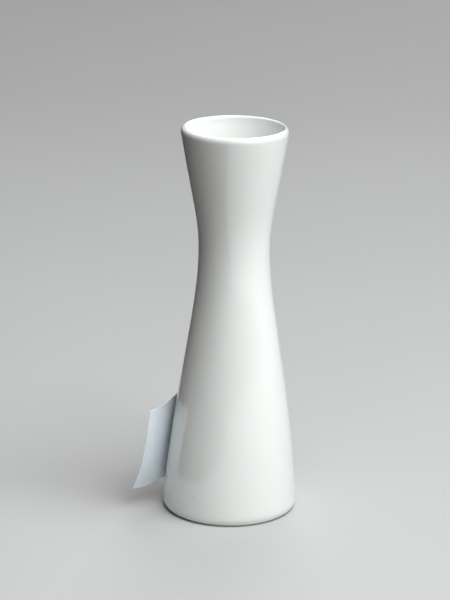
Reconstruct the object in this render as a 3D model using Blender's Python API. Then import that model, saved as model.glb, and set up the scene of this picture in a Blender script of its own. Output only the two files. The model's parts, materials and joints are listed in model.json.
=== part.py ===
"""A waisted porcelain bud vase with a paper label stuck low on its side.

The vase is one turned piece: a foot ring, a tapered lower body, a narrow waist and a flared
mouth. The label wraps round the lower body, and its free end has peeled off and curls away.
The frame's origin is on the vase's axis, on the plane that the foot ring rests on, with +Z up.
All lengths are in metres and all angles in radians.
"""

import math

import bpy
import numpy as np

# The outside of the vase.
HEIGHT = 0.165
FOOT_RADIUS = 0.0261
WAIST_HEIGHT = 0.1127
WAIST_RADIUS = 0.0149
MOUTH_RADIUS = 0.0222
LOWER_BODY_LEAN = 0.0737
MOUTH_LEAN = 0.157
# How far the rounded bottom edge and the rounded rim reach, across and up.
EDGE_ROUNDING = (0.0022, 0.0032)
RIM_ROUNDING = (0.00115, 0.0016)
# How far each end of the outline's two curves keeps its own direction.
LOWER_BODY_REACH = 0.0526
WAIST_REACH_DOWN = 0.0253
WAIST_REACH_UP = 0.0141
MOUTH_REACH = 0.0293

# The wall, the floor and the foot.
RIM_WALL = 0.0023
WAIST_WALL = 0.0028
BASE_WALL = 0.0034
FLOOR_HEIGHT = 0.0052
FLOOR_FILLET = 0.0070
FOOT_RING_WIDTH = 0.0030
RECESS_DEPTH = 0.0014
RECESS_SLOPE = 0.0028

# The label. Its glued end lies round the back of the vase, and its free end leaves the vase along
# a peel line. Each pair is for the label's bottom, then its top. The label tilts up towards the
# back, and loses part of that tilt on its way, because a straight strip does so round a cone.
LABEL_GAP = 0.00035
LABEL_THICKNESS = 0.0003
PEEL_ANGLE = (math.radians(192.1), math.radians(191.1))
PEEL_HEIGHT = (0.0096, 0.0480)
STUCK_LENGTH = (0.0390, 0.0373)
FREE_LENGTH = (0.0240, 0.0260)
LABEL_TILT = math.radians(5.4)
STRAIGHTENING = 0.3
# How far the free end turns away from the vase: a steady bend, and one that tightens outwards.
# The bottom's curl fades into the top's with this power of the distance from the top.
STEADY_BEND = (math.radians(24), math.radians(-21))
TIGHTENING_BEND = (math.radians(16), math.radians(44))
CURL_FADE = 3.3
# The paper bends this far out from the peel line, and the two halves of the label meet there.
HINGE_OFFSET = 0.0040
HINGE_GAP = 0.0003

# Each material's colour and roughness.
PORCELAIN = ((0.78, 0.79, 0.75), 0.08)
STUCK_PAPER = ((0.86, 0.87, 0.88), 0.6)
LOOSE_PAPER = ((0.84, 0.86, 0.88), 0.5)

# How finely the surfaces are divided.
SIDES = 48
LOWER_STEPS = 13
UPPER_STEPS = 8
RIM_STEPS = 6
ROUNDING_STEPS = 3
FILLET_STEPS = 4
LABEL_ROWS = 8
STUCK_COLUMNS = 14
FREE_COLUMNS = 8
FINE_STEPS = (200, 100)
BEND_STEPS = 32
SHARP_ANGLE = math.radians(40)


def bezier(start, start_handle, end_handle, end, steps):
    """Points of a cubic curve, its two ends included."""
    t = np.linspace(0.0, 1.0, steps + 1)[:, None]
    points = np.array([start, start_handle, end_handle, end])
    weights = np.hstack([(1 - t) ** 3, 3 * (1 - t) ** 2 * t, 3 * (1 - t) * t**2, t**3])
    return weights @ points


def arc(centre, radii, start_angle, end_angle, steps):
    """Points of a quarter or half ellipse, its two ends included."""
    angles = np.linspace(start_angle, end_angle, steps + 1)
    return np.column_stack(
        [centre[0] + radii[0] * np.cos(angles), centre[1] + radii[1] * np.sin(angles)]
    )


def body_curves(lower_steps, upper_steps):
    """The outside from the rounded bottom edge to the waist, and from there to the rim."""
    base = (FOOT_RADIUS + EDGE_ROUNDING[0], EDGE_ROUNDING[1])
    waist = (WAIST_RADIUS, WAIST_HEIGHT)
    mouth = (MOUTH_RADIUS, HEIGHT - RIM_ROUNDING[1])
    lower = bezier(
        base,
        (base[0] - LOWER_BODY_LEAN * LOWER_BODY_REACH, base[1] + LOWER_BODY_REACH),
        (waist[0], waist[1] - WAIST_REACH_DOWN),
        waist,
        lower_steps,
    )
    upper = bezier(
        waist,
        (waist[0], waist[1] + WAIST_REACH_UP),
        (mouth[0] - MOUTH_LEAN * MOUTH_REACH, mouth[1] - MOUTH_REACH),
        mouth,
        upper_steps,
    )
    return lower, upper


LOWER_FINE, UPPER_FINE = body_curves(*FINE_STEPS)
FINE_CURVE = np.vstack([LOWER_FINE, UPPER_FINE[1:]])


def outer_radius(z):
    """The vase's outside radius at a height."""
    return float(np.interp(z, FINE_CURVE[:, 1], FINE_CURVE[:, 0]))


def inner_radius(z):
    """The radius of the hollow at a height: the outside less the wall, which thins upwards."""
    wall = np.interp(z, [0.0, WAIST_HEIGHT, HEIGHT], [BASE_WALL, WAIST_WALL, RIM_WALL])
    return outer_radius(z) - float(wall)


def underside():
    """From the axis across the shallow recess and down its easing slope to the foot ring."""
    ring_inner = FOOT_RADIUS - FOOT_RING_WIDTH
    return [
        (0.0, RECESS_DEPTH),
        (ring_inner - RECESS_SLOPE, RECESS_DEPTH),
        (ring_inner - RECESS_SLOPE / 4, RECESS_DEPTH / 3),
        (ring_inner, 0.0),
    ]


def hollow():
    """The inside, from just under the rim down to the filleted floor and in to the axis."""
    heights = [*np.linspace(HEIGHT - RIM_ROUNDING[1], WAIST_HEIGHT, UPPER_STEPS + 1)]
    fillet_top = FLOOR_HEIGHT + FLOOR_FILLET
    heights += [*np.linspace(WAIST_HEIGHT, fillet_top, LOWER_STEPS)][1:]
    wall = [(inner_radius(z), z) for z in heights]
    centre = (wall[-1][0] - FLOOR_FILLET, fillet_top)
    fillet = arc(centre, (FLOOR_FILLET, FLOOR_FILLET), 0.0, -math.pi / 2, FILLET_STEPS)
    return [*wall, *fillet[1:], (0.0, FLOOR_HEIGHT)]


def vase_outline():
    """The whole turned section, from the underside's centre round to the floor's centre."""
    edge_centre = (FOOT_RADIUS, EDGE_ROUNDING[1])
    bottom_edge = arc(edge_centre, EDGE_ROUNDING, -math.pi / 2, 0.0, ROUNDING_STEPS)
    lower, upper = body_curves(LOWER_STEPS, UPPER_STEPS)
    rim_centre = (MOUTH_RADIUS - RIM_ROUNDING[0], HEIGHT - RIM_ROUNDING[1])
    rim = arc(rim_centre, RIM_ROUNDING, 0.0, math.pi, RIM_STEPS)
    return [*underside(), *bottom_edge, *lower[1:], *upper[1:], *rim[1:-1], *hollow()]


def turned_mesh(name, outline, sides):
    """A closed solid of revolution. The outline starts and ends on the axis."""
    vertices = [(0.0, 0.0, outline[0][1])]
    for radius, z in outline[1:-1]:
        for side in range(sides):
            angle = 2 * math.pi * side / sides
            vertices.append((radius * math.cos(angle), radius * math.sin(angle), z))
    vertices.append((0.0, 0.0, outline[-1][1]))
    rings = len(outline) - 2
    faces = []
    for side in range(sides):
        after = (side + 1) % sides
        faces.append((0, 1 + after, 1 + side))
        for ring in range(rings - 1):
            low = 1 + ring * sides
            high = low + sides
            faces.append((low + side, low + after, high + after, high + side))
        top = 1 + (rings - 1) * sides
        faces.append((top + side, top + after, len(vertices) - 1))
    mesh = bpy.data.meshes.new(name)
    mesh.from_pydata(vertices, [], faces)
    return mesh


def between(pair, row):
    """A value that changes evenly from the label's bottom, row 0, to its top, row 1."""
    return pair[0] + (pair[1] - pair[0]) * row


def label_start(row):
    """The distance from the peel line back to the label's glued edge, as a negative number."""
    return -between(STUCK_LENGTH, row)


def label_finish(row):
    """The distance from the peel line out to the label's free edge."""
    return between(FREE_LENGTH, row)


def stuck_point(distance, row):
    """A point of the glued end, which runs back round the cone as a straight strip does."""
    z = between(PEEL_HEIGHT, row)
    angle = between(PEEL_ANGLE, row) + distance / (outer_radius(z) + LABEL_GAP)
    share = distance / label_start(row)
    z += LABEL_TILT * between(STUCK_LENGTH, row) * (share - STRAIGHTENING * share**2)
    radius = outer_radius(z) + LABEL_GAP
    return np.array([radius * math.cos(angle), radius * math.sin(angle), z])


def cone_frame(angle):
    """The lower body's own directions at an angle round the axis: round it, up it and out."""
    fall = outer_radius(PEEL_HEIGHT[1]) - outer_radius(PEEL_HEIGHT[0])
    lean = fall / (PEEL_HEIGHT[1] - PEEL_HEIGHT[0])
    around = np.array([-math.sin(angle), math.cos(angle), 0.0])
    up = np.array([lean * math.cos(angle), lean * math.sin(angle), 1.0])
    up /= np.linalg.norm(up)
    return around, up, np.cross(around, up)


def free_point(distance, row):
    """A point of the peeled end, which leaves the vase along its tangent and curls outwards."""
    around, up, outward = cone_frame(between(PEEL_ANGLE, row))
    along = math.cos(LABEL_TILT) * around - math.sin(LABEL_TILT) * up
    faded = 1 - (1 - row) ** CURL_FADE
    middles = (np.arange(BEND_STEPS) + 0.5) / BEND_STEPS * distance / label_finish(row)
    turn = between(STEADY_BEND, faded) * middles + between(TIGHTENING_BEND, faded) * middles**2
    forward = float(np.cos(turn).mean()) * distance
    sideways = float(np.sin(turn).mean()) * distance
    return stuck_point(0.0, row) + forward * along + sideways * outward


def label_point(distance, row):
    """A point of the label's glued face. The distance is 0 on the peel line, row 0 is its foot."""
    if distance < 0:
        return stuck_point(distance, row)
    return free_point(distance, row)


def label_normal(distance, row):
    """The direction from the label's glued face to its printed face."""
    step = 0.0002
    row_step = 0.01
    along = label_point(distance + step, row) - label_point(distance - step, row)
    above = label_point(distance, min(row + row_step, 1))
    below = label_point(distance, max(row - row_step, 0))
    normal = np.cross(along, above - below)
    return normal / np.linalg.norm(normal)


def sheet_mesh(name, near, far, columns, origin):
    """A thin closed solid between two distances from the peel line, each a function of row."""
    glued = []
    printed = []
    for step in range(LABEL_ROWS + 1):
        row = step / LABEL_ROWS
        for distance in np.linspace(near(row), far(row), columns + 1):
            point = label_point(distance, row) - origin
            glued.append(point)
            printed.append(point + LABEL_THICKNESS * label_normal(distance, row))
    width = columns + 1
    back = len(glued)
    faces = []
    for step in range(LABEL_ROWS):
        for column in range(columns):
            a = step * width + column
            b = a + 1
            c = b + width
            d = a + width
            faces.append((a, d, c, b))
            faces.append((back + a, back + b, back + c, back + d))
    last = LABEL_ROWS * width
    for column in range(columns):
        a = column
        faces.append((a, a + 1, back + a + 1, back + a))
        a = last + column
        faces.append((a + 1, a, back + a, back + a + 1))
    for step in range(LABEL_ROWS):
        a = step * width
        faces.append((a + width, a, back + a, back + a + width))
        a = step * width + columns
        faces.append((a, a + width, back + a + width, back + a))
    mesh = bpy.data.meshes.new(name)
    mesh.from_pydata([tuple(p) for p in glued + printed], [], faces)
    return mesh


def plain_material(name, colour, roughness):
    """A Principled material with one colour."""
    material = bpy.data.materials.new(name)
    material.use_nodes = True
    shader = material.node_tree.nodes["Principled BSDF"]
    shader.inputs["Base Color"].default_value = (*colour, 1.0)
    shader.inputs["Roughness"].default_value = roughness
    shader.inputs["Metallic"].default_value = 0.0
    return material


def finish(name, mesh, material, location=(0.0, 0.0, 0.0)):
    """Shades a mesh smooth, gives it its material and places its object."""
    mesh.shade_smooth()
    mesh.set_sharp_from_angle(angle=SHARP_ANGLE)
    mesh.materials.append(material)
    piece = bpy.data.objects.new(name, mesh)
    piece.location = location
    bpy.context.scene.collection.objects.link(piece)


def hinge_point(row):
    """A point of the line that the free end swings about, on the label's printed face."""
    return free_point(HINGE_OFFSET, row) + LABEL_THICKNESS * label_normal(HINGE_OFFSET, row)


def stuck_finish(row):
    """The distance from the peel line to the hinge, less half the gap there."""
    return HINGE_OFFSET - HINGE_GAP / 2


def loose_start(row):
    """The distance from the peel line to the hinge, plus half the gap there."""
    return HINGE_OFFSET + HINGE_GAP / 2


def build():
    """Clears the scene and makes the vase and both halves of its label."""
    for piece in list(bpy.data.objects):
        bpy.data.objects.remove(piece, do_unlink=True)
    vase = turned_mesh("vase_body", vase_outline(), SIDES)
    finish("vase_body", vase, plain_material("porcelain", *PORCELAIN))
    stuck = sheet_mesh("label_stuck_end", label_start, stuck_finish, STUCK_COLUMNS, np.zeros(3))
    finish("label_stuck_end", stuck, plain_material("stuck_paper", *STUCK_PAPER))
    hinge = (hinge_point(0.0) + hinge_point(1.0)) / 2
    loose = sheet_mesh("label_loose_end", loose_start, label_finish, FREE_COLUMNS, hinge)
    finish("label_loose_end", loose, plain_material("loose_paper", *LOOSE_PAPER), tuple(hinge))


build()
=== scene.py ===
"""The looks of a waisted porcelain bud vase with a peeling paper label.

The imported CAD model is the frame. A finely turned and glazed body stands for its vase_body, and
one thin sheet of paper, glued round the back and curling free at the side, stands for both ends
of its label. Lengths are in metres and angles in radians, in the CAD model's own frame.
"""

import json
import math

import bpy
import numpy as np
from mathutils import Matrix, Vector


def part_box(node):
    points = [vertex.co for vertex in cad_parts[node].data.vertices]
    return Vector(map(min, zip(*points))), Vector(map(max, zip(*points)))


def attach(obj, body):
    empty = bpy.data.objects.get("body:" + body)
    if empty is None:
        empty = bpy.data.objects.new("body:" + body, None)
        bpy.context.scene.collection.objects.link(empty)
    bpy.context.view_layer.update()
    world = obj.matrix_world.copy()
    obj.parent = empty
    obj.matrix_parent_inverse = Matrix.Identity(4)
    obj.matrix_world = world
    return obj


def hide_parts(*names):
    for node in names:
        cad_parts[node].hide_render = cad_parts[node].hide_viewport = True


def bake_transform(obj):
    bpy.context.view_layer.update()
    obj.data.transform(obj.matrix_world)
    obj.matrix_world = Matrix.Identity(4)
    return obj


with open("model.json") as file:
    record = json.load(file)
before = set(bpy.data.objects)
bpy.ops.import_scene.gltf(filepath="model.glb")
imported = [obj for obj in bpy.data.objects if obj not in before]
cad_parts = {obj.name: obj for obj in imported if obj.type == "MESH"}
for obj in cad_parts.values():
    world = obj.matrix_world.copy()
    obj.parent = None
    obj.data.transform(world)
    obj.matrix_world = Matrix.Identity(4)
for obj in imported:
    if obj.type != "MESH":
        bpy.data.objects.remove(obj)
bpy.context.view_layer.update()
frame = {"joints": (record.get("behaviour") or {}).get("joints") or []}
BODY_LOW, BODY_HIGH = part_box("vase_body")

# The turned outline, as in the CAD model.
HEIGHT = BODY_HIGH.z - BODY_LOW.z
BASE_RADIUS = BODY_HIGH.x
EDGE_ROUNDING = (0.0022, 0.0032)
RIM_OUTSIDE = (0.00130, 0.0022)
RIM_INSIDE = (0.00075, 0.0010)
FOOT_RADIUS = BASE_RADIUS - EDGE_ROUNDING[0]
WAIST_HEIGHT = 0.1127
WAIST_RADIUS = 0.0149
MOUTH_RADIUS = 0.0222
LOWER_BODY_LEAN = 0.0737
MOUTH_LEAN = 0.157
LOWER_BODY_REACH = 0.0526
WAIST_REACH_DOWN = 0.0253
WAIST_REACH_UP = 0.0141
MOUTH_REACH = 0.0293
RIM_WALL = 0.00205
WAIST_WALL = 0.0028
BASE_WALL = 0.0034
FLOOR_HEIGHT = 0.0052
FLOOR_FILLET = 0.0070
FOOT_RING_WIDTH = 0.0030
RECESS_DEPTH = 0.0014
FOOT_SLOPE_START = 2.6 * RECESS_DEPTH
BODY_SIDES = 192
# The glaze colour is darker and greener up to this height above the foot, and lighter down to this
# depth of the rim, a painted highlight.
DARKER_FOOT_HEIGHT = 0.012
RIM_HIGHLIGHT_DEPTH = 0.0022
# The ground foot is round. The casting's unevenness grows to its full size over this height.
EVEN_FOOT_HEIGHT = 0.02
# The casting's slight bow: how far its axis strays to the camera's right at four heights.
BOW_HEIGHTS = (0.0, 0.033, 0.085, 0.165)
BOW_SHIFTS = (-0.00052, -0.00001, 0.00038, 0.00005)

# The label, as in the CAD model, at its real thickness and lying on the glaze.
LABEL_GAP = 0.00006
LABEL_THICKNESS = 0.00014
PEEL_ANGLE = (math.radians(192.1), math.radians(191.1))
PEEL_HEIGHT = (0.0096, 0.0480)
STUCK_LENGTH = (0.0390, 0.0373)
FREE_LENGTH = (0.0245, 0.0262)
LABEL_TILT = math.radians(5.4)
STRAIGHTENING = 0.3
STEADY_BEND = (math.radians(24), math.radians(-21))
TIGHTENING_BEND = (math.radians(16), math.radians(44))
CURL_FADE = 3.3
BEND_STEPS = 48
LABEL_ROWS = 48
STUCK_COLUMNS = 70
FREE_COLUMNS = 56

# The camera: how far the CAD frame is turned from it, and how it is aimed.
CAMERA_AZIMUTH = math.radians(36.1)
CAMERA_DISTANCE = 5.840 * HEIGHT
CAMERA_SIDE = 0.0021 * HEIGHT
CAMERA_HEIGHT = 2.351 * HEIGHT
CAMERA_PITCH = math.radians(17.136)
CAMERA_YAW = math.radians(-0.21)
CAMERA_ROLL = math.radians(0.635)
CAMERA_LENS = 144.8
SENSOR_WIDTH = 36.0

# The stage. The card's ends are as seen by the camera: across and away.
FLOOR_REACH = 4.0
CARD_NEAR_END = (-0.062, -0.380, 0.0)
CARD_FAR_END = (-0.140, 0.380, 0.0)
CARD_FOOT_HEIGHT = 0.04
CARD_HEIGHT = 0.45


# ---------------------------------------------------------------- node helpers


def new_material(name):
    """A Principled material, its node tree and its shader."""
    material = bpy.data.materials.new(name)
    material.use_nodes = True
    tree = material.node_tree
    return material, tree, tree.nodes["Principled BSDF"]


def noise(tree, vector, scale, detail=3.0, roughness=0.55, distortion=0.0):
    """A noise texture's factor."""
    node = tree.nodes.new("ShaderNodeTexNoise")
    node.inputs["Scale"].default_value = scale
    node.inputs["Detail"].default_value = detail
    node.inputs["Roughness"].default_value = roughness
    node.inputs["Distortion"].default_value = distortion
    tree.links.new(vector, node.inputs["Vector"])
    return node.outputs["Fac"]


def remap(tree, value, low, high, to_low, to_high):
    """A value mapped from one range to another and held inside it."""
    node = tree.nodes.new("ShaderNodeMapRange")
    node.inputs["From Min"].default_value = low
    node.inputs["From Max"].default_value = high
    node.inputs["To Min"].default_value = to_low
    node.inputs["To Max"].default_value = to_high
    tree.links.new(value, node.inputs["Value"])
    return node.outputs["Result"]


def mix_colour(tree, factor, first, second):
    """Two colours mixed by a factor. Each colour is a socket or three numbers."""
    node = tree.nodes.new("ShaderNodeMix")
    node.data_type = "RGBA"
    tree.links.new(factor, node.inputs["Factor"])
    for name, value in (("A", first), ("B", second)):
        socket = [s for s in node.inputs if s.name == name and s.type == "RGBA"][0]
        if isinstance(value, tuple):
            socket.default_value = (*value, 1.0)
        else:
            tree.links.new(value, socket)
    return [s for s in node.outputs if s.type == "RGBA"][0]


def bump(tree, height, distance, strength, normal=None):
    """A bump from a height value, over an earlier one if there is one."""
    node = tree.nodes.new("ShaderNodeBump")
    node.inputs["Distance"].default_value = distance
    node.inputs["Strength"].default_value = strength
    tree.links.new(height, node.inputs["Height"])
    if normal is not None:
        tree.links.new(normal, node.inputs["Normal"])
    return node.outputs["Normal"]


def object_position(tree):
    """The position in the object's own frame, in metres."""
    return tree.nodes.new("ShaderNodeTexCoord").outputs["Object"]


def height_above_foot(tree, place):
    """The height alone, from a position."""
    split = tree.nodes.new("ShaderNodeSeparateXYZ")
    tree.links.new(place, split.inputs["Vector"])
    return split.outputs["Z"]


# ---------------------------------------------------------------- materials


def glaze_material():
    """Clear glossy glaze over white porcelain, with a painted highlight making the rim lighter,
    and darker and greener above the foot.
    """
    material, tree, shader = new_material("glazed_porcelain")
    place = object_position(tree)
    height = height_above_foot(tree, place)
    cloud = remap(tree, noise(tree, place, 28.0, 4.0), 0.35, 0.65, 0.0, 1.0)
    body = mix_colour(tree, cloud, (0.785, 0.804, 0.784), (0.808, 0.824, 0.803))
    # The colour is darker and greener towards the foot.
    darker_foot_band = remap(tree, height, 0.0, DARKER_FOOT_HEIGHT, 0.55, 0.0)
    body = mix_colour(tree, darker_foot_band, body, (0.745, 0.785, 0.755))
    # A painted highlight: the colour is lighter towards the top of the rim.
    painted_rim_highlight = remap(tree, height, HEIGHT - RIM_HIGHLIGHT_DEPTH, HEIGHT, 0.0, 0.7)
    body = mix_colour(tree, painted_rim_highlight, body, (0.850, 0.862, 0.845))
    specks = remap(tree, noise(tree, place, 420.0, 1.0), 0.80, 0.83, 0.0, 0.18)
    body = mix_colour(tree, specks, body, (0.40, 0.36, 0.30))
    tree.links.new(body, shader.inputs["Base Color"])
    smears = remap(tree, noise(tree, place, 34.0, 5.0, 0.6, 0.8), 0.48, 0.72, 0.025, 0.075)
    tree.links.new(smears, shader.inputs["Roughness"])
    shader.inputs["IOR"].default_value = 1.56
    shader.inputs["Coat Weight"].default_value = 0.75
    shader.inputs["Coat Roughness"].default_value = 0.02
    shader.inputs["Subsurface Weight"].default_value = 0.06
    shader.inputs["Subsurface Radius"].default_value = (1.0, 0.85, 0.65)
    shader.inputs["Subsurface Scale"].default_value = 0.0015
    orange_peel = bump(tree, noise(tree, place, 210.0, 2.0), 0.00003, 0.35)
    pinholes = remap(tree, noise(tree, place, 900.0, 0.0), 0.82, 0.86, 1.0, 0.0)
    tree.links.new(bump(tree, pinholes, 0.00004, 0.5, orange_peel), shader.inputs["Normal"])
    return material


def bisque_material():
    """The bare fired clay of the foot ring, finely grained and a little soiled by use."""
    material, tree, shader = new_material("bare_porcelain")
    place = object_position(tree)
    soiled = remap(tree, noise(tree, place, 160.0, 5.0), 0.42, 0.66, 0.0, 1.0)
    colour = mix_colour(tree, soiled, (0.800, 0.775, 0.715), (0.600, 0.565, 0.505))
    tree.links.new(colour, shader.inputs["Base Color"])
    worn = remap(tree, soiled, 0.0, 1.0, 0.88, 0.62)
    tree.links.new(worn, shader.inputs["Roughness"])
    grain = bump(tree, noise(tree, place, 3200.0, 3.0), 0.00008, 0.6)
    tree.links.new(grain, shader.inputs["Normal"])
    return material


def paper_material(name, light, dark, roughness, glue):
    """White label paper: clouded stock, crossing fibres, and a patchy film of glue on one face."""
    material, tree, shader = new_material(name)
    place = object_position(tree)
    stock = remap(tree, noise(tree, place, 260.0, 4.0, 0.6), 0.36, 0.66, 0.0, 1.0)
    colour = mix_colour(tree, stock, light, dark)
    stretch = tree.nodes.new("ShaderNodeMapping")
    stretch.inputs["Scale"].default_value = (1.0, 1.0, 0.14)
    tree.links.new(place, stretch.inputs["Vector"])
    fibres = noise(tree, stretch.outputs["Vector"], 5200.0, 2.0, 0.7, 0.4)
    faint = remap(tree, fibres, 0.35, 0.7, 0.0, 0.35)
    colour = mix_colour(tree, faint, colour, dark)
    tree.links.new(colour, shader.inputs["Base Color"])
    film = remap(tree, noise(tree, place, 120.0, 3.0, 0.5, 1.2), 0.40, 0.62, 0.0, 1.0)
    patchy = remap(tree, film, 0.0, 1.0, roughness, roughness - glue)
    tree.links.new(patchy, shader.inputs["Roughness"])
    shader.inputs["IOR"].default_value = 1.46
    shader.inputs["Subsurface Weight"].default_value = 0.25
    shader.inputs["Subsurface Radius"].default_value = (1.0, 1.0, 1.0)
    shader.inputs["Subsurface Scale"].default_value = 0.0004
    surface = bump(tree, stock, 0.00004, 0.35)
    tree.links.new(bump(tree, fibres, 0.00002, 0.5, surface), shader.inputs["Normal"])
    return material


def floor_material():
    """A plain pale matt floor, very slightly mottled."""
    material, tree, shader = new_material("pale_floor")
    place = object_position(tree)
    mottle = remap(tree, noise(tree, place, 2.2, 4.0), 0.3, 0.7, 0.0, 1.0)
    colour = mix_colour(tree, mottle, (0.425, 0.423, 0.419), (0.450, 0.448, 0.444))
    tree.links.new(colour, shader.inputs["Base Color"])
    shader.inputs["Roughness"].default_value = 0.8
    shader.inputs["Specular IOR Level"].default_value = 0.1
    return material


def card_material():
    """The dark, faintly mottled felt of the studio card."""
    material, tree, shader = new_material("dark_felt")
    place = object_position(tree)
    mottle = remap(tree, noise(tree, place, 40.0, 3.0), 0.3, 0.7, 0.0, 1.0)
    colour = mix_colour(tree, mottle, (0.030, 0.020, 0.022), (0.040, 0.027, 0.029))
    tree.links.new(colour, shader.inputs["Base Color"])
    shader.inputs["Roughness"].default_value = 0.95
    return material


# ---------------------------------------------------------------- the vase's shape


def bezier(start, start_handle, end_handle, end, steps):
    """Points of a cubic curve, its two ends included."""
    t = np.linspace(0.0, 1.0, steps + 1)[:, None]
    points = np.array([start, start_handle, end_handle, end])
    weights = np.hstack([(1 - t) ** 3, 3 * (1 - t) ** 2 * t, 3 * (1 - t) * t**2, t**3])
    return weights @ points


def arc(centre, radii, start_angle, end_angle, steps):
    """Points of part of an ellipse, its two ends included."""
    angles = np.linspace(start_angle, end_angle, steps + 1)
    return np.column_stack(
        [centre[0] + radii[0] * np.cos(angles), centre[1] + radii[1] * np.sin(angles)]
    )


def body_curve(lower_steps, upper_steps):
    """The outside from the rounded bottom edge, past the waist, to the rim."""
    base = (BASE_RADIUS, EDGE_ROUNDING[1])
    waist = (WAIST_RADIUS, WAIST_HEIGHT)
    mouth = (MOUTH_RADIUS, HEIGHT - RIM_OUTSIDE[1])
    lower = bezier(
        base,
        (base[0] - LOWER_BODY_LEAN * LOWER_BODY_REACH, base[1] + LOWER_BODY_REACH),
        (waist[0], waist[1] - WAIST_REACH_DOWN),
        waist,
        lower_steps,
    )
    upper = bezier(
        waist,
        (waist[0], waist[1] + WAIST_REACH_UP),
        (mouth[0] - MOUTH_LEAN * MOUTH_REACH, mouth[1] - MOUTH_REACH),
        mouth,
        upper_steps,
    )
    return np.vstack([lower, upper[1:]])


FINE_CURVE = body_curve(300, 150)


def outer_radius(z):
    """The vase's outside radius at a height."""
    return float(np.interp(z, FINE_CURVE[:, 1], FINE_CURVE[:, 0]))


def inner_radius(z):
    """The radius of the hollow at a height."""
    wall = np.interp(z, [0.0, WAIST_HEIGHT, HEIGHT], [BASE_WALL, WAIST_WALL, RIM_WALL])
    return outer_radius(z) - float(wall)


def vase_outline():
    """The turned section from the underside's centre, over the rim, to the floor's centre.

    Returns the points, and the first and last of those that lie on the bare foot ring.
    """
    ring_inner = FOOT_RADIUS - FOOT_RING_WIDTH
    recess_slope = bezier(
        (ring_inner - FOOT_SLOPE_START, RECESS_DEPTH),
        (ring_inner - 1.5 * RECESS_DEPTH, RECESS_DEPTH),
        (ring_inner - 0.7 * RECESS_DEPTH, 0.1 * RECESS_DEPTH),
        (ring_inner - 0.1 * RECESS_DEPTH, 0.1 * RECESS_DEPTH),
        8,
    )
    middle = [(r, RECESS_DEPTH) for r in np.linspace(0.0, recess_slope[0][0], 9)[:-1]]
    ring = [(r, 0.0) for r in np.linspace(ring_inner, FOOT_RADIUS, 6)[:-1]]
    edge = arc((FOOT_RADIUS, EDGE_ROUNDING[1]), EDGE_ROUNDING, -math.pi / 2, 0.0, 12)
    body = body_curve(110, 60)
    crest = MOUTH_RADIUS - RIM_OUTSIDE[0]
    rim_out = arc((crest, HEIGHT - RIM_OUTSIDE[1]), RIM_OUTSIDE, 0.0, math.pi / 2, 12)
    rim_in = arc((crest, HEIGHT - RIM_INSIDE[1]), RIM_INSIDE, math.pi / 2, math.pi, 8)
    rim = [*rim_out, *rim_in[1:]]
    fillet_top = FLOOR_HEIGHT + FLOOR_FILLET
    heights = np.linspace(HEIGHT - RIM_INSIDE[1], fillet_top, 110)
    inside = [(inner_radius(z), z) for z in heights]
    fillet_centre = (inside[-1][0] - FLOOR_FILLET, fillet_top)
    fillet = arc(fillet_centre, (FLOOR_FILLET, FLOOR_FILLET), 0.0, -math.pi / 2, 14)
    floor = [(r, FLOOR_HEIGHT) for r in np.linspace(fillet[-1][0], 0.0, 9)[1:]]
    first_bare = len(middle) + len(recess_slope)
    last_bare = first_bare + len(ring) + 2
    points = [*middle, *recess_slope, *ring, *edge, *body[1:], *rim[1:-1], *inside]
    points += [*fillet[1:], *floor]
    return points, first_bare, last_bare


def casting_wobble(angle, z):
    """How far a cast wall strays from true round, as a share of its radius."""
    slow = math.sin(2 * angle + 0.7) * 0.0016 + math.sin(3 * angle - 21 * z) * 0.0007
    fine = math.sin(5 * angle + 64 * z + 1.3) * 0.0004 + math.sin(7 * angle - 95 * z) * 0.0003
    return slow + fine


def cast_radius(radius, angle, z):
    """A true radius made as uneven as the casting is there."""
    return radius * (1 + casting_wobble(angle, z) * min(1.0, z / EVEN_FOOT_HEIGHT))


BOW_CURVE = np.polyfit(BOW_HEIGHTS, BOW_SHIFTS, 3)


def bow(z):
    """How far the vase's axis has moved across at a height, as x and y."""
    shift = float(np.polyval(BOW_CURVE, z))
    return shift * math.cos(CAMERA_AZIMUTH), shift * math.sin(CAMERA_AZIMUTH)


def make_vase():
    """The glazed body, finely turned, with the slight unevenness of a cast piece."""
    outline, first_bare, last_bare = vase_outline()
    vertices = [(*bow(0.0), outline[0][1])]
    for radius, z in outline[1:-1]:
        middle_x, middle_y = bow(z)
        for side in range(BODY_SIDES):
            angle = 2 * math.pi * side / BODY_SIDES
            uneven = cast_radius(radius, angle, z)
            x = middle_x + uneven * math.cos(angle)
            y = middle_y + uneven * math.sin(angle)
            vertices.append((x, y, z))
    vertices.append((*bow(FLOOR_HEIGHT), outline[-1][1]))
    rings = len(outline) - 2
    faces = []
    slots = []
    for side in range(BODY_SIDES):
        after = (side + 1) % BODY_SIDES
        faces.append((0, 1 + after, 1 + side))
        slots.append(0)
        for ring in range(rings - 1):
            low = 1 + ring * BODY_SIDES
            high = low + BODY_SIDES
            faces.append((low + side, low + after, high + after, high + side))
            slots.append(1 if first_bare <= ring + 1 < last_bare else 0)
        top = 1 + (rings - 1) * BODY_SIDES
        faces.append((top + side, top + after, len(vertices) - 1))
        slots.append(0)
    mesh = bpy.data.meshes.new("glazed_vase")
    mesh.from_pydata(vertices, [], faces)
    mesh.materials.append(glaze_material())
    mesh.materials.append(bisque_material())
    mesh.polygons.foreach_set("material_index", slots)
    mesh.shade_smooth()
    vase = bpy.data.objects.new("glazed_vase", mesh)
    bpy.context.scene.collection.objects.link(vase)
    return vase


# ---------------------------------------------------------------- the label's shape


def between(pair, row):
    """A value that changes evenly from the label's bottom, row 0, to its top, row 1."""
    return pair[0] + (pair[1] - pair[0]) * row


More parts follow.
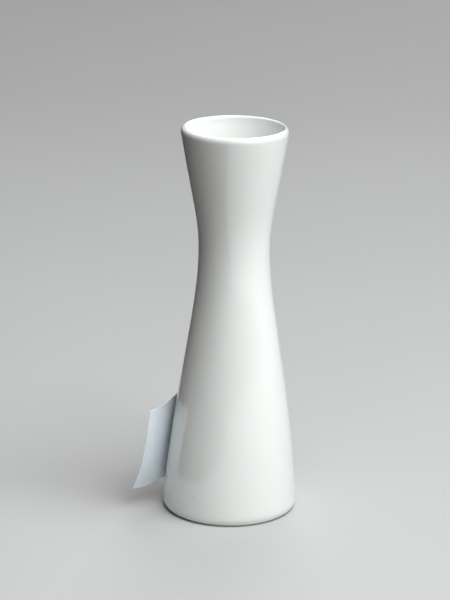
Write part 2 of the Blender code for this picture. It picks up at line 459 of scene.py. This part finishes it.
def stuck_point(distance, row):
    """A point of the glued end. It rises as a straight strip does round a cone."""
    z = between(PEEL_HEIGHT, row)
    angle = between(PEEL_ANGLE, row) + distance / (outer_radius(z) + LABEL_GAP)
    share = -distance / between(STUCK_LENGTH, row)
    z += LABEL_TILT * between(STUCK_LENGTH, row) * (share - STRAIGHTENING * share**2)
    radius = cast_radius(outer_radius(z), angle, z) + LABEL_GAP
    middle_x, middle_y = bow(z)
    return np.array([middle_x + radius * math.cos(angle), middle_y + radius * math.sin(angle), z])


def cone_frame(angle):
    """The lower body's own directions at an angle: round it, up it and out of it."""
    fall = outer_radius(PEEL_HEIGHT[1]) - outer_radius(PEEL_HEIGHT[0])
    lean = fall / (PEEL_HEIGHT[1] - PEEL_HEIGHT[0])
    around = np.array([-math.sin(angle), math.cos(angle), 0.0])
    up = np.array([lean * math.cos(angle), lean * math.sin(angle), 1.0])
    up /= np.linalg.norm(up)
    return around, up, np.cross(around, up)


def free_point(distance, row):
    """A point of the peeled end. It leaves the vase along its tangent and curls outwards."""
    around, up, outward = cone_frame(between(PEEL_ANGLE, row))
    along = math.cos(LABEL_TILT) * around - math.sin(LABEL_TILT) * up
    faded = 1 - (1 - row) ** CURL_FADE
    middles = (np.arange(BEND_STEPS) + 0.5) / BEND_STEPS * distance / between(FREE_LENGTH, row)
    turn = between(STEADY_BEND, faded) * middles + between(TIGHTENING_BEND, faded) * middles**2
    forward = float(np.cos(turn).mean()) * distance
    sideways = float(np.sin(turn).mean()) * distance
    return stuck_point(0.0, row) + forward * along + sideways * outward


def label_point(distance, row):
    """A point of the label's glued face. The distance is 0 on the peel line."""
    if distance < 0:
        return stuck_point(distance, row)
    return free_point(distance, row)


def label_normal(distance, row):
    """The direction from the glued face to the printed face."""
    step = 0.0002
    row_step = 0.01
    along = label_point(distance + step, row) - label_point(distance - step, row)
    above = label_point(distance, min(row + row_step, 1))
    below = label_point(distance, max(row - row_step, 0))
    normal = np.cross(along, above - below)
    return normal / np.linalg.norm(normal)


def make_label():
    """One sheet of paper: its glued end round the back, and its free end curling away."""
    glued = []
    printed = []
    for step in range(LABEL_ROWS + 1):
        row = step / LABEL_ROWS
        stuck = np.linspace(-between(STUCK_LENGTH, row), 0.0, STUCK_COLUMNS + 1)
        free = np.linspace(0.0, between(FREE_LENGTH, row), FREE_COLUMNS + 1)[1:]
        for distance in [*stuck, *free]:
            point = label_point(distance, row)
            glued.append(point)
            printed.append(point + LABEL_THICKNESS * label_normal(distance, row))
    columns = STUCK_COLUMNS + FREE_COLUMNS
    width = columns + 1
    back = len(glued)
    faces = []
    slots = []
    for step in range(LABEL_ROWS):
        for column in range(columns):
            a = step * width + column
            b, c, d = a + 1, a + 1 + width, a + width
            faces.append((a, d, c, b))
            slots.append(0)
            faces.append((back + a, back + b, back + c, back + d))
            slots.append(1)
    last = LABEL_ROWS * width
    edges = [(column, column + 1) for column in range(columns)]
    edges += [(last + column + 1, last + column) for column in range(columns)]
    edges += [((step + 1) * width, step * width) for step in range(LABEL_ROWS)]
    edges += [(step * width + columns, (step + 1) * width + columns) for step in range(LABEL_ROWS)]
    for a, b in edges:
        faces.append((a, b, back + b, back + a))
        slots.append(1)
    mesh = bpy.data.meshes.new("paper_label")
    mesh.from_pydata([tuple(p) for p in glued + printed], [], faces)
    mesh.materials.append(
        paper_material("label_glue_side", (0.83, 0.91, 0.98), (0.78, 0.86, 0.94), 0.50, 0.14)
    )
    mesh.materials.append(
        paper_material("label_face", (0.87, 0.87, 0.86), (0.80, 0.80, 0.79), 0.62, 0.04)
    )
    mesh.polygons.foreach_set("material_index", slots)
    mesh.shade_smooth()
    mesh.set_sharp_from_angle(angle=math.radians(40))
    label = bpy.data.objects.new("paper_label", mesh)
    bpy.context.scene.collection.objects.link(label)
    return label


# ---------------------------------------------------------------- the stage


def turned(vector, angle):
    """A vector turned about the vertical axis."""
    return Matrix.Rotation(angle, 3, "Z") @ Vector(vector)


def make_camera():
    """The camera, a little above the mouth and looking down at the vase."""
    ahead = Vector(
        (
            math.sin(CAMERA_YAW) * math.cos(CAMERA_PITCH),
            math.cos(CAMERA_YAW) * math.cos(CAMERA_PITCH),
            -math.sin(CAMERA_PITCH),
        )
    )
    level = ahead.cross(Vector((0, 0, 1))).normalized()
    upright = level.cross(ahead)
    right = math.cos(CAMERA_ROLL) * level + math.sin(CAMERA_ROLL) * upright
    up = math.cos(CAMERA_ROLL) * upright - math.sin(CAMERA_ROLL) * level
    axes = [turned(v, CAMERA_AZIMUTH) for v in (right, up, -ahead)]
    place = turned((CAMERA_SIDE, -CAMERA_DISTANCE, CAMERA_HEIGHT), CAMERA_AZIMUTH)
    data = bpy.data.cameras.new("camera")
    data.lens = CAMERA_LENS
    data.sensor_width = SENSOR_WIDTH
    camera = bpy.data.objects.new("camera", data)
    camera.matrix_world = Matrix.Translation(place) @ Matrix(axes).transposed().to_4x4()
    bpy.context.scene.collection.objects.link(camera)
    bpy.context.scene.camera = camera


def area_light(name, bearing, distance, height, size, power, colour):
    """A soft rectangular light, aimed at the vase. Its bearing is to the camera's right."""
    data = bpy.data.lights.new(name, "AREA")
    data.shape = "RECTANGLE"
    data.size, data.size_y = size
    data.energy = power
    data.color = colour
    light = bpy.data.objects.new(name, data)
    flat = (distance * math.sin(bearing), -distance * math.cos(bearing), height)
    light.location = turned(flat, CAMERA_AZIMUTH)
    aim = Vector((0.0, 0.0, HEIGHT / 2)) - light.location
    light.rotation_euler = aim.to_track_quat("-Z", "Y").to_euler()
    bpy.context.scene.collection.objects.link(light)
    return light


def stage_sheet(name, corners, material):
    """One flat four-cornered piece of the stage."""
    mesh = bpy.data.meshes.new(name)
    mesh.from_pydata([tuple(corner) for corner in corners], [], [(0, 1, 2, 3)])
    mesh.materials.append(material)
    sheet = bpy.data.objects.new(name, mesh)
    bpy.context.scene.collection.objects.link(sheet)
    return sheet


def make_stage():
    """A pale floor, soft lights from the right, the front, above and behind, and dim air.

    A dark card stands on the left. It is hidden from the camera and casts no shadow, and its
    foot is seen by nothing but the glaze's reflections, so it leaves no line on the floor.
    """
    signs = ((-1, -1), (1, -1), (1, 1), (-1, 1))
    corners = [(across * FLOOR_REACH, away * FLOOR_REACH, 0) for across, away in signs]
    stage_sheet("floor", corners, floor_material())
    near = turned(CARD_NEAR_END, CAMERA_AZIMUTH)
    far = turned(CARD_FAR_END, CAMERA_AZIMUTH)
    foot_span = (0.0, CARD_FOOT_HEIGHT)
    upper_span = (CARD_FOOT_HEIGHT, CARD_HEIGHT)
    for name, (low, high) in (("card_foot", foot_span), ("card", upper_span)):
        bottom = Vector((0.0, 0.0, low))
        top = Vector((0.0, 0.0, high))
        corners = (near + bottom, far + bottom, far + top, near + top)
        card = stage_sheet(name, corners, card_material())
        card.visible_camera = False
        card.visible_shadow = False
        card.visible_diffuse = name == "card"
    area_light("key", math.radians(59), 0.92, 0.50, (1.2, 0.85), 3.9, (0.96, 0.99, 1.0))
    area_light("fill", math.radians(12), 1.6, 0.75, (1.2, 1.0), 2.2, (1.0, 0.97, 0.84))
    area_light("overhead", math.radians(48), 0.50, 1.25, (0.9, 0.9), 23.5, (0.965, 0.99, 1.0))
    area_light("back", math.radians(172), 2.0, 1.5, (1.4, 1.0), 22.0, (1.0, 1.0, 1.0))
    world = bpy.data.worlds.new("air")
    world.use_nodes = True
    world.node_tree.nodes["Background"].inputs["Color"].default_value = (0.62, 0.62, 0.64, 1.0)
    world.node_tree.nodes["Background"].inputs["Strength"].default_value = 0.08
    bpy.context.scene.world = world
    bpy.context.scene.view_settings.view_transform = "Standard"


# ---------------------------------------------------------------- assembly

make_camera()
make_stage()

vase = make_vase()
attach(vase, "vase")
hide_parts("vase_body")

label = make_label()
bend_axis = Vector(frame["joints"][0]["axis"])
strip = Vector(label_point(0.012, 0.5)) - Vector(label_point(0.0, 0.5))
strip = (strip - strip.dot(bend_axis) * bend_axis).normalized()
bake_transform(label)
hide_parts("label_stuck_end", "label_loose_end")
